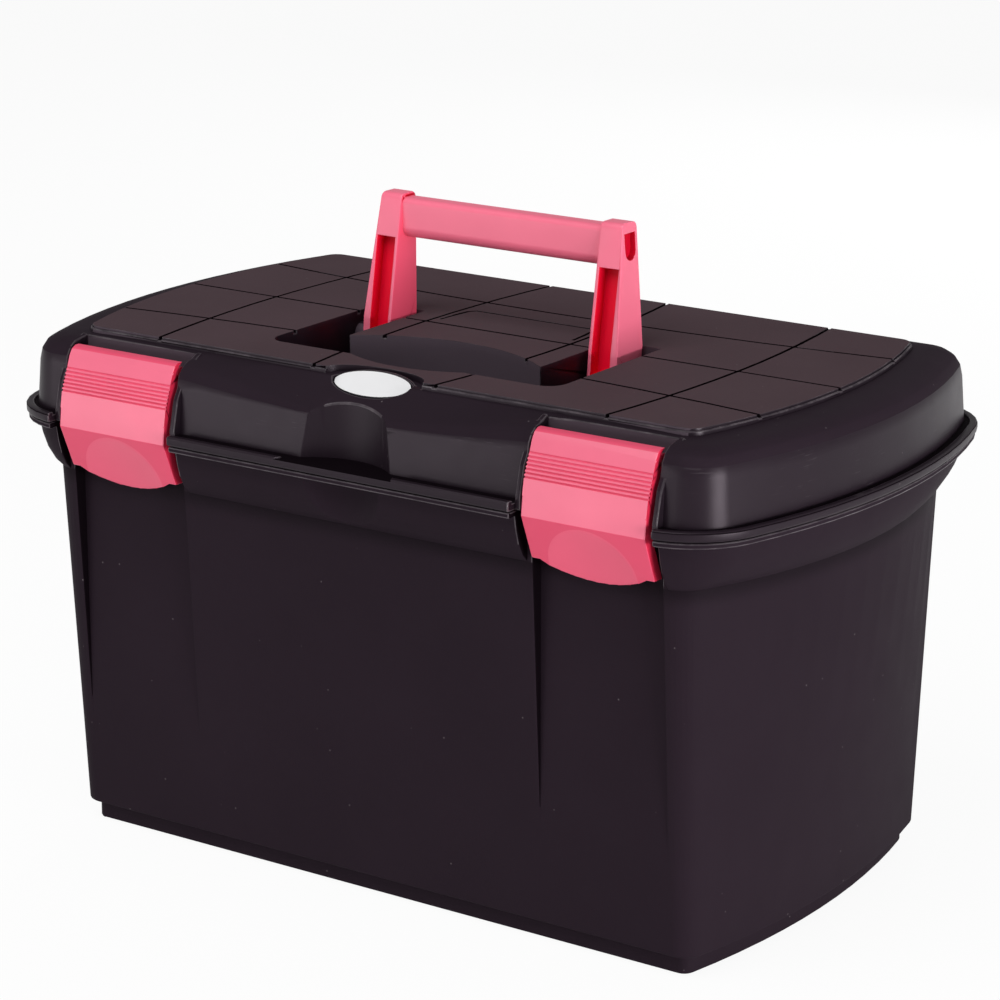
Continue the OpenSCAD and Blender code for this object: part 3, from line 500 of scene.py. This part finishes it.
def along_edges(mesh, turns):
    """Points along the edges, to be looked up by place, and whether each edge is sharp enough to wear and
    take a painted highlight.
    """
    points = []
    for edge, turn in turns.items():
        start, end = (mesh.vertices[vertex].co for vertex in mesh.edges[edge].vertices)
        count = 1 + int((end - start).length / EDGE_STEP)
        points += [(start.lerp(end, i / count), turn > WORN) for i in range(count + 1)]
    tree = KDTree(max(len(points), 1))
    for i, (point, _) in enumerate(points):
        tree.insert(point, i)
    tree.balance()
    return tree, [sharp for _, sharp in points]


def room_beside(mesh, radius, edges):
    """Share of the radius that fits beside each of the edges, before it meets an edge across the face."""
    shares = dict.fromkeys(edges, 1.0)
    places = [vertex.co for vertex in mesh.vertices]
    for face, rim in rims(mesh):
        ways = [(places[b] - places[a]).normalized() for a, b, _ in rim]
        for i, (a, b, edge) in enumerate(rim):
            if edge not in shares:
                continue
            for j, (c, d, other) in enumerate(rim):
                if {a, b} & {c, d} or ways[i].dot(ways[j]) > SAME_WAY:
                    continue
                gap = gap_between((places[a], places[b]), (places[c], places[d]))
                fits = gap * (ROOM_SHARED if other in shares else ROOM_ALONE) / radius
                shares[edge] = min(shares[edge], fits)
    return shares


def weigh_edges(piece, radius, sharp, crisp):
    """Weighs the outer edges by the room for their rounding, and returns points along them that may wear and
    take a painted highlight.
    """
    activate(piece)
    bpy.ops.object.mode_set(mode="EDIT")
    bpy.ops.mesh.select_mode(type="EDGE")
    bpy.ops.mesh.select_all(action="DESELECT")
    bpy.ops.mesh.edges_select_sharp(sharpness=sharp)
    bpy.ops.object.mode_set(mode="OBJECT")
    mesh = piece.data
    turns = outer_edges(mesh)
    points = along_edges(mesh, turns)
    weights = mesh.attributes.new(WEIGHTS, "FLOAT", "EDGE")
    for edge, share in room_beside(mesh, radius, turns).items():
        low = min(mesh.vertices[vertex].co.z for vertex in mesh.edges[edge].vertices)
        share *= CRISP_SHARE if low > crisp else 1
        weights.data[edge].value = share if share > LEAST_SHARE else 0
    bpy.ops.object.mode_set(mode="EDIT")
    bpy.ops.mesh.select_all(action="SELECT")
    bpy.ops.mesh.quads_convert_to_tris(quad_method="BEAUTY", ngon_method="BEAUTY")
    bpy.ops.object.mode_set(mode="OBJECT")
    return points


def bevel_edges(piece, radius, worn):
    """Rounds the weighed edges, with the finish of slot worn, which is wear and painted highlight."""
    bevel = piece.modifiers.new("edges", "BEVEL")
    bevel.limit_method = "WEIGHT"
    bevel.width = radius
    bevel.segments = ROUNDING_STEPS
    bevel.material = worn
    bevel.use_clamp_overlap = False
    bpy.ops.object.modifier_apply(modifier=bevel.name)


def round_edges(piece, radius, sharp=SHARP, worn=NO_SLOT, crisp=math.inf):
    """Rounds the outer edges, less where there is no room or above the height crisp.

    A rounding that strays from the surface is left out, and slot worn, the worn finish with its painted
    highlight, stays on the sharpest edges alone.
    """
    nearest, worn_and_lit = weigh_edges(piece, radius, sharp, crisp)
    sharp_mesh = piece.data
    places = [vertex.co for vertex in sharp_mesh.vertices]
    surface = surface_of(sharp_mesh)
    for _ in range(ROUNDING_TRIES):
        piece.data = sharp_mesh.copy()
        bevel_edges(piece, radius, worn)
        made = [vertex.co for vertex in piece.data.vertices]
        points = made + [(made[a] + made[b]) / 2 for a, b in piece.data.edge_keys]
        strays = [point for point in points if surface.find_nearest(point)[3] > radius * STRAY_SHARE]
        if not strays:
            break
        weights = sharp_mesh.attributes[WEIGHTS].data
        for edge in sharp_mesh.edges:
            if not weights[edge.index].value:
                continue
            ends = [places[vertex] for vertex in edge.vertices]
            if min(gap_between((point, point), ends) for point in strays) < radius * STRAY_REACH:
                weights[edge.index].value = 0
    for face in piece.data.polygons:
        if face.material_index == worn and not worn_and_lit[nearest.find(face.center)[1]]:
            face.material_index = PLAIN


def smooth(piece, angle=SMOOTH):
    """Smooth shading that keeps flat faces flat."""
    activate(piece)
    bpy.ops.object.shade_smooth_by_angle(angle=angle)
    weighted = piece.modifiers.new("flat faces", "WEIGHTED_NORMAL")
    weighted.mode = "FACE_AREA_WITH_ANGLE"
    weighted.keep_sharp = True
    bpy.ops.object.modifier_apply(modifier=weighted.name)


def sheltered(piece, reach, share):
    """Numbers of the faces from which the piece itself hides more than that share of what is within reach."""
    surface = surface_of(piece.data)
    rays = sum(count for count, _ in RAY_RINGS)
    hidden = set()
    for face in piece.data.polygons:
        normal = face.normal
        side = normal.orthogonal().normalized()
        over = normal.cross(side)
        blocked = 0
        for count, lean in RAY_RINGS:
            for k in range(count):
                turn = 2 * math.pi * k / count
                way = normal + (side * math.cos(turn) + over * math.sin(turn)) * math.tan(lean)
                hit = surface.ray_cast(face.center + normal * RAY_LIFT, way.normalized(), reach)
                blocked += hit[0] is not None
        if blocked > share * rays:
            hidden.add(face.index)
    return hidden


def tub_slot(face):
    """Slot of the finish on a face of the tub."""
    off = abs(abs(face.center.x) - LATCH_X)
    beside = LATCH_HALF - CHANNEL_INSIDE < off < LATCH_HALF + CHANNEL_OUTSIDE
    # Painted shade: the sides of the latch channels take the near black
    if beside and face.center.y < CHANNEL_BACK and abs(face.normal.x) > CHANNEL_SIDEWAYS:
        return TUB_CHANNEL
    if face.material_index == TUB_EDGE and face.center.z < LID_LOW.z - WORN_RIM:
        return PLAIN
    return face.material_index


def lid_slot(face, grooves):
    """Slot of the finish on a face of the lid."""
    place, normal = face.center, face.normal
    by_badge = abs(place.x) < BADGE_HIGH.x + BADGE_MARGIN and place.y < BADGE_HIGH.y + BADGE_MARGIN
    by_latch = abs(abs(place.x) - LATCH_X) < POCKET_HALF and POCKET_FRONT < place.y < POCKET_BACK
    in_well = abs(place.x) < WELL_HALF_L and abs(place.y) < WELL_HALF_D and place.z > BEAD_Z
    if place.z > PANEL_Z - LEVEL and normal.z > UP:
        return LID_PANEL
    # Painted shade: the groove floor behind the bead and the sheltered tile grooves take the near black
    if abs(place.z - GROOVE_Z) < LEVEL and normal.z > UP:
        return LID_GROOVE
    if face.index in grooves and place.z > PANEL_Z - TILE_GROOVE and not by_badge:
        return LID_GROOVE
    if face.material_index == LID_EDGE:
        return LID_EDGE
    # Painted light: the front walls of the latch pockets and of the well take the lighter pocket black
    if by_latch and normal.y < -POCKET_FORWARD:
        return LID_POCKET
    if in_well and normal.y < -WELL_FORWARD:
        return LID_POCKET
    if place.z > BEAD_Z + SHOULDER_FOOT and normal.z > SHOULDER_UP:
        return LID_SHOULDER
    return PLAIN


def put_handle_finishes(piece):
    """Gives the inner sides, the pockets and the end recesses of the handle their slots, whose deeper pinks
    are painted shade.
    """
    faces = piece.data.polygons
    # Painted shade: the inner sides of the legs take the inner pink
    for face in faces:
        if face.normal.x * face.center.x < 0 and abs(face.normal.x) > SIDEWAYS:
            face.material_index = HANDLE_INNER
    # Painted shade: sheltered faces take the deep pinks
    for index in sheltered(piece, *POCKET_SHELTER):
        recessed = faces[index].center.z > HANDLE_TOP - RECESS_DROP
        faces[index].material_index = HANDLE_RECESS if recessed else HANDLE_POCKET


def put_latch_finishes(piece):
    """Gives the lower half, the dish, the ribs, the top and the sides of a latch their slots, whose darker
    pinks are painted shade.
    """
    faces = piece.data.polygons
    crease = LATCH_HIGH.z - CREASE_DROP
    low = [face for face in faces if face.center.z < crease and face.normal.y < -SLANT_FORWARD]
    slant = max(low, key=lambda face: face.area)
    for face in low:
        sunk = (slant.center - face.center).dot(slant.normal) > DISH_DEPTH
        in_dish = sunk and face.normal.angle(slant.normal) < DISH_TURN
        face.material_index = LATCH_DISH if in_dish else LATCH_LOWER
    # Painted shade: sheltered faces such as the ribs take the lower pink
    for index in sheltered(piece, *LATCH_SHELTER):
        faces[index].material_index = LATCH_LOWER
    # Painted shade: the sides take the side pink and the top faces the lower pink
    for face in faces:
        if abs(face.normal.x) > SIDEWAYS:
            face.material_index = LATCH_SIDE
        elif face.normal.z > LATCH_UP:
            face.material_index = LATCH_LOWER


def hand_over(piece, body, node):
    """Puts the piece in place of the CAD node."""
    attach(piece, body)
    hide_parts(node)


class GROOMING_OT_tub(bpy.types.Operator):
    """Dresses the tub"""

    bl_idname = "grooming_box.tub"
    bl_label = "Tub"

    def execute(self, context):
        scene = context.scene
        colours = scene.grooming_finishes
        # Painted shade darkens the tub in a band just below the collar
        black = plastic("tub_black_plastic", colours.tub_black, 0.62, 0.045, grain=0.0007, depth=0.00006,
                        dust=0.4, sheen=BLACK_SHEEN, crease=COLLAR_Z)
        # Worn edges with a painted highlight
        edge = worn_highlight_edge("tub_worn_highlight", colours.tub_black, colours.worn_highlight_black)
        # Painted shade for the sides of the latch channels
        channel = plastic("tub_channel_shade", colours.groove_shade_black, 0.7, 0.03, grain=0.0007, depth=0.00006)
        piece = copied("tub", "tub_moulding", (black, edge, channel), CHANNEL_CUTS)
        round_edges(piece, scene.grooming_edges.tub, worn=TUB_EDGE)
        smooth(piece, TUB_SMOOTH)
        for face in piece.data.polygons:
            face.material_index = tub_slot(face)
        hand_over(piece, "tub", "tub")
        return {"FINISHED"}


class GROOMING_OT_lid(bpy.types.Operator):
    """Dresses the lid and its tiled standing panel"""

    bl_idname = "grooming_box.lid"
    bl_label = "Lid"

    def execute(self, context):
        scene = context.scene
        colours = scene.grooming_finishes
        black = plastic("lid_black_plastic", colours.lid_black, 0.37, 0.20, grain=0.0006, depth=0.00003,
                        dust=0.4, sheen=BLACK_SHEEN, scuffs=0.45)
        edge = worn_highlight_edge("lid_worn_highlight", colours.lid_black, colours.worn_highlight_black)
        panel = plastic("panel_black_plastic", colours.panel_black, 0.75, 0.06, grain=0.0009, depth=0.00010,
                        dust=0.3)
        # Painted light for the front walls of the well and pockets
        pocket = plastic("lid_pocket_lit", colours.pocket_lit_black, 0.65, 0.06, depth=0.00006)
        # Painted shade for the groove behind the bead and the tile grooves
        groove = plastic("lid_groove_shade", colours.groove_shade_black, 0.7, 0.03, grain=0.0007, depth=0.00006)
        shoulder = plastic("lid_shoulder_black", colours.tub_black, 0.62, 0.05, grain=0.0007, depth=0.00005,
                           dust=0.4, sheen=BLACK_SHEEN)
        piece = copied("lid", "lid_moulding", (black, edge, panel, pocket, groove, shoulder))
        round_edges(piece, scene.grooming_edges.lid, worn=LID_EDGE, crisp=PANEL_Z - TILE_EDGE)
        smooth(piece)
        # Faces sheltered within a few millimetres are the grooves that get painted shade
        grooves = sheltered(piece, *GROOVE_SHELTER)
        for face in piece.data.polygons:
            face.material_index = lid_slot(face, grooves)
        hand_over(piece, "lid", "lid")
        return {"FINISHED"}


class GROOMING_OT_handle(bpy.types.Operator):
    """Dresses the carrying handle"""

    bl_idname = "grooming_box.handle"
    bl_label = "Handle"

    def execute(self, context):
        scene = context.scene
        colours = scene.grooming_finishes
        pink = plastic("handle_pink_plastic", colours.pink, 0.36, 0.4)
        # Painted shade for the pockets, the inner sides and the end recesses
        deep = plastic("handle_pocket_shade", colours.deep_shade_pink, 0.5, 0.1)
        inner = plastic("handle_inner_shade", colours.inner_shade_pink, 0.45, 0.2)
        recess = plastic("handle_recess_shade", shade(colours.deep_shade_pink, 0.73), 0.5, 0.1)
        piece = copied("handle", "handle_moulding", (pink, deep, inner, recess))
        round_edges(piece, scene.grooming_edges.handle)
        smooth(piece)
        put_handle_finishes(piece)
        hand_over(piece, "handle", "handle")
        return {"FINISHED"}


class GROOMING_OT_latches(bpy.types.Operator):
    """Dresses the two front latches"""

    bl_idname = "grooming_box.latches"
    bl_label = "Latches"

    def execute(self, context):
        scene = context.scene
        colours = scene.grooming_finishes
        # Painted shade: the pink darkened for the more brightly lit latches
        pink = plastic("latch_shaded_pink_plastic", shade(colours.pink, 0.91), 0.36, 0.4)
        # Painted shade on the lower half, the ribs, the top and the sides; the dish, lighter than the slant
        # round it, mixes lit and shaded pink
        low = plastic("latch_low_shade", colours.low_shade_pink, 0.40, 0.3)
        dish = plastic("latch_dish_shade", mixed(colours.pink, colours.low_shade_pink, 0.72), 0.36, 0.4)
        side = plastic("latch_side_shade", colours.side_shade_pink, 0.5, 0.1)
        for node in ("latch_left", "latch_right"):
            piece = copied(node, node + "_moulding", (pink, low, dish, side))
            round_edges(piece, scene.grooming_edges.latch)
            smooth(piece)
            put_latch_finishes(piece)
            hand_over(piece, node, node)
        return {"FINISHED"}


class GROOMING_OT_badge(bpy.types.Operator):
    """Dresses the bare oval badge"""

    bl_idname = "grooming_box.badge"
    bl_label = "Badge"

    def execute(self, context):
        scene = context.scene
        colours = scene.grooming_finishes
        white = plastic("badge_white_plastic", colours.badge_white, 0.25, 0.5, grain=0.002, depth=0.00001)
        rim = plastic("badge_rim_shade", colours.badge_edge_shade, 0.5, 0.2, grain=0.002, depth=0.00001)
        piece = copied("badge", "badge_plate", (white, rim))
        round_edges(piece, scene.grooming_edges.badge, sharp=PLATE_SHARP)
        smooth(piece)
        front = max(piece.data.polygons, key=lambda face: face.normal.z * face.area).normal.copy()
        # Painted shade: the sides of the badge take the dark rim
        for face in piece.data.polygons:
            face.material_index = BADGE_RIM if face.normal.angle(front) > BADGE_TURN else PLAIN
        hand_over(piece, "lid", "badge")
        return {"FINISHED"}


class GROOMING_OT_pins(bpy.types.Operator):
    """Dresses the pins of the hinge, the latches and the handle"""

    bl_idname = "grooming_box.pins"
    bl_label = "Pins"

    def execute(self, context):
        scene = context.scene
        finish = pin_steel(scene.grooming_finishes.steel)
        for node, body in (("hinge_pins", "tub"), ("latch_pins", "lid"), ("handle_pins", "lid")):
            piece = copied(node, node + "_bars", (finish,))
            round_edges(piece, scene.grooming_edges.pin, sharp=PLATE_SHARP)
            smooth(piece)
            hand_over(piece, body, node)
        return {"FINISHED"}


class GROOMING_OT_tray(bpy.types.Operator):
    """Dresses the lift-out tray"""

    bl_idname = "grooming_box.tray"
    bl_label = "Tray"

    def execute(self, context):
        scene = context.scene
        finish = plastic("tray_grey_plastic", scene.grooming_finishes.tray_grey, 0.45, 0.4, depth=0.00004)
        piece = copied("tray", "tray_moulding", (finish,))
        round_edges(piece, scene.grooming_edges.tray)
        smooth(piece)
        hand_over(piece, "tray", "tray")
        return {"FINISHED"}


class GROOMING_OT_stage(bpy.types.Operator):
    """Adds the floor, the lamps and the camera"""

    bl_idname = "grooming_box.stage"
    bl_label = "Stage"

    def execute(self, context):
        scene = context.scene
        stage = scene.grooming_stage
        scene.view_settings.view_transform = "Standard"
        bpy.ops.object.select_all(action="DESELECT")
        bpy.ops.mesh.primitive_plane_add(size=FLOOR_SIZE, location=(0, 0, FLOOR_Z))
        floor = context.object
        floor.name = "floor"
        floor.data.materials.append(floor_paper(stage.floor).material)

        scene.world = bpy.data.worlds.new("studio")
        scene.world.use_nodes = True
        ambient = scene.world.node_tree.nodes["Background"]
        ambient.inputs["Color"].default_value = (1, 1, 1, 1)
        ambient.inputs["Strength"].default_value = stage.daylight

        for name, place, size, power, shows in LAMPS:
            bpy.ops.object.light_add(type="AREA", location=place)
            lamp = context.object
            lamp.name = name
            lamp.data.shape = "RECTANGLE"
            lamp.data.size, lamp.data.size_y = size
            lamp.data.energy = power
            lamp.visible_glossy = shows
            lamp.rotation_euler = (LAMP_AIM - Vector(place)).to_track_quat("-Z", "Y").to_euler()

        bpy.ops.object.camera_add(location=stage.eye)
        camera = context.object
        camera.rotation_euler = Vector(stage.look).to_track_quat("-Z", "Y").to_euler()
        camera.data.lens = stage.lens
        camera.data.sensor_width = SENSOR_WIDTH
        scene.camera = camera
        return {"FINISHED"}


PIECES = (GROOMING_OT_tub, GROOMING_OT_lid, GROOMING_OT_handle, GROOMING_OT_latches, GROOMING_OT_badge,
          GROOMING_OT_pins, GROOMING_OT_tray, GROOMING_OT_stage)


class GROOMING_PT_panel(bpy.types.Panel):
    """Lists the pieces and what can be changed on them"""

    bl_idname = "GROOMING_PT_panel"
    bl_label = "Grooming Box"
    bl_space_type = "VIEW_3D"
    bl_region_type = "UI"
    bl_category = "Grooming Box"

    def draw(self, context):
        scene = context.scene
        layout = self.layout
        for group in (scene.grooming_finishes, scene.grooming_edges, scene.grooming_stage):
            box = layout.box()
            for key in group.__annotations__:
                box.prop(group, key)
        for piece in PIECES:
            layout.operator(piece.bl_idname)


CLASSES = (GroomingBoxFinishes, GroomingBoxEdges, GroomingBoxStage, *PIECES, GROOMING_PT_panel)


def register():
    for made in CLASSES:
        bpy.utils.register_class(made)
    bpy.types.Scene.grooming_finishes = bpy.props.PointerProperty(type=GroomingBoxFinishes)
    bpy.types.Scene.grooming_edges = bpy.props.PointerProperty(type=GroomingBoxEdges)
    bpy.types.Scene.grooming_stage = bpy.props.PointerProperty(type=GroomingBoxStage)


def unregister():
    del bpy.types.Scene.grooming_stage
    del bpy.types.Scene.grooming_edges
    del bpy.types.Scene.grooming_finishes
    for made in reversed(CLASSES):
        bpy.utils.unregister_class(made)


def main():
    """Builds the pieces and the stage."""
    register()
    bpy.ops.grooming_box.tub()
    bpy.ops.grooming_box.lid()
    bpy.ops.grooming_box.handle()
    bpy.ops.grooming_box.latches()
    bpy.ops.grooming_box.badge()
    bpy.ops.grooming_box.pins()
    bpy.ops.grooming_box.tray()
    bpy.ops.grooming_box.stage()


if __name__ == "__main__":
    main()
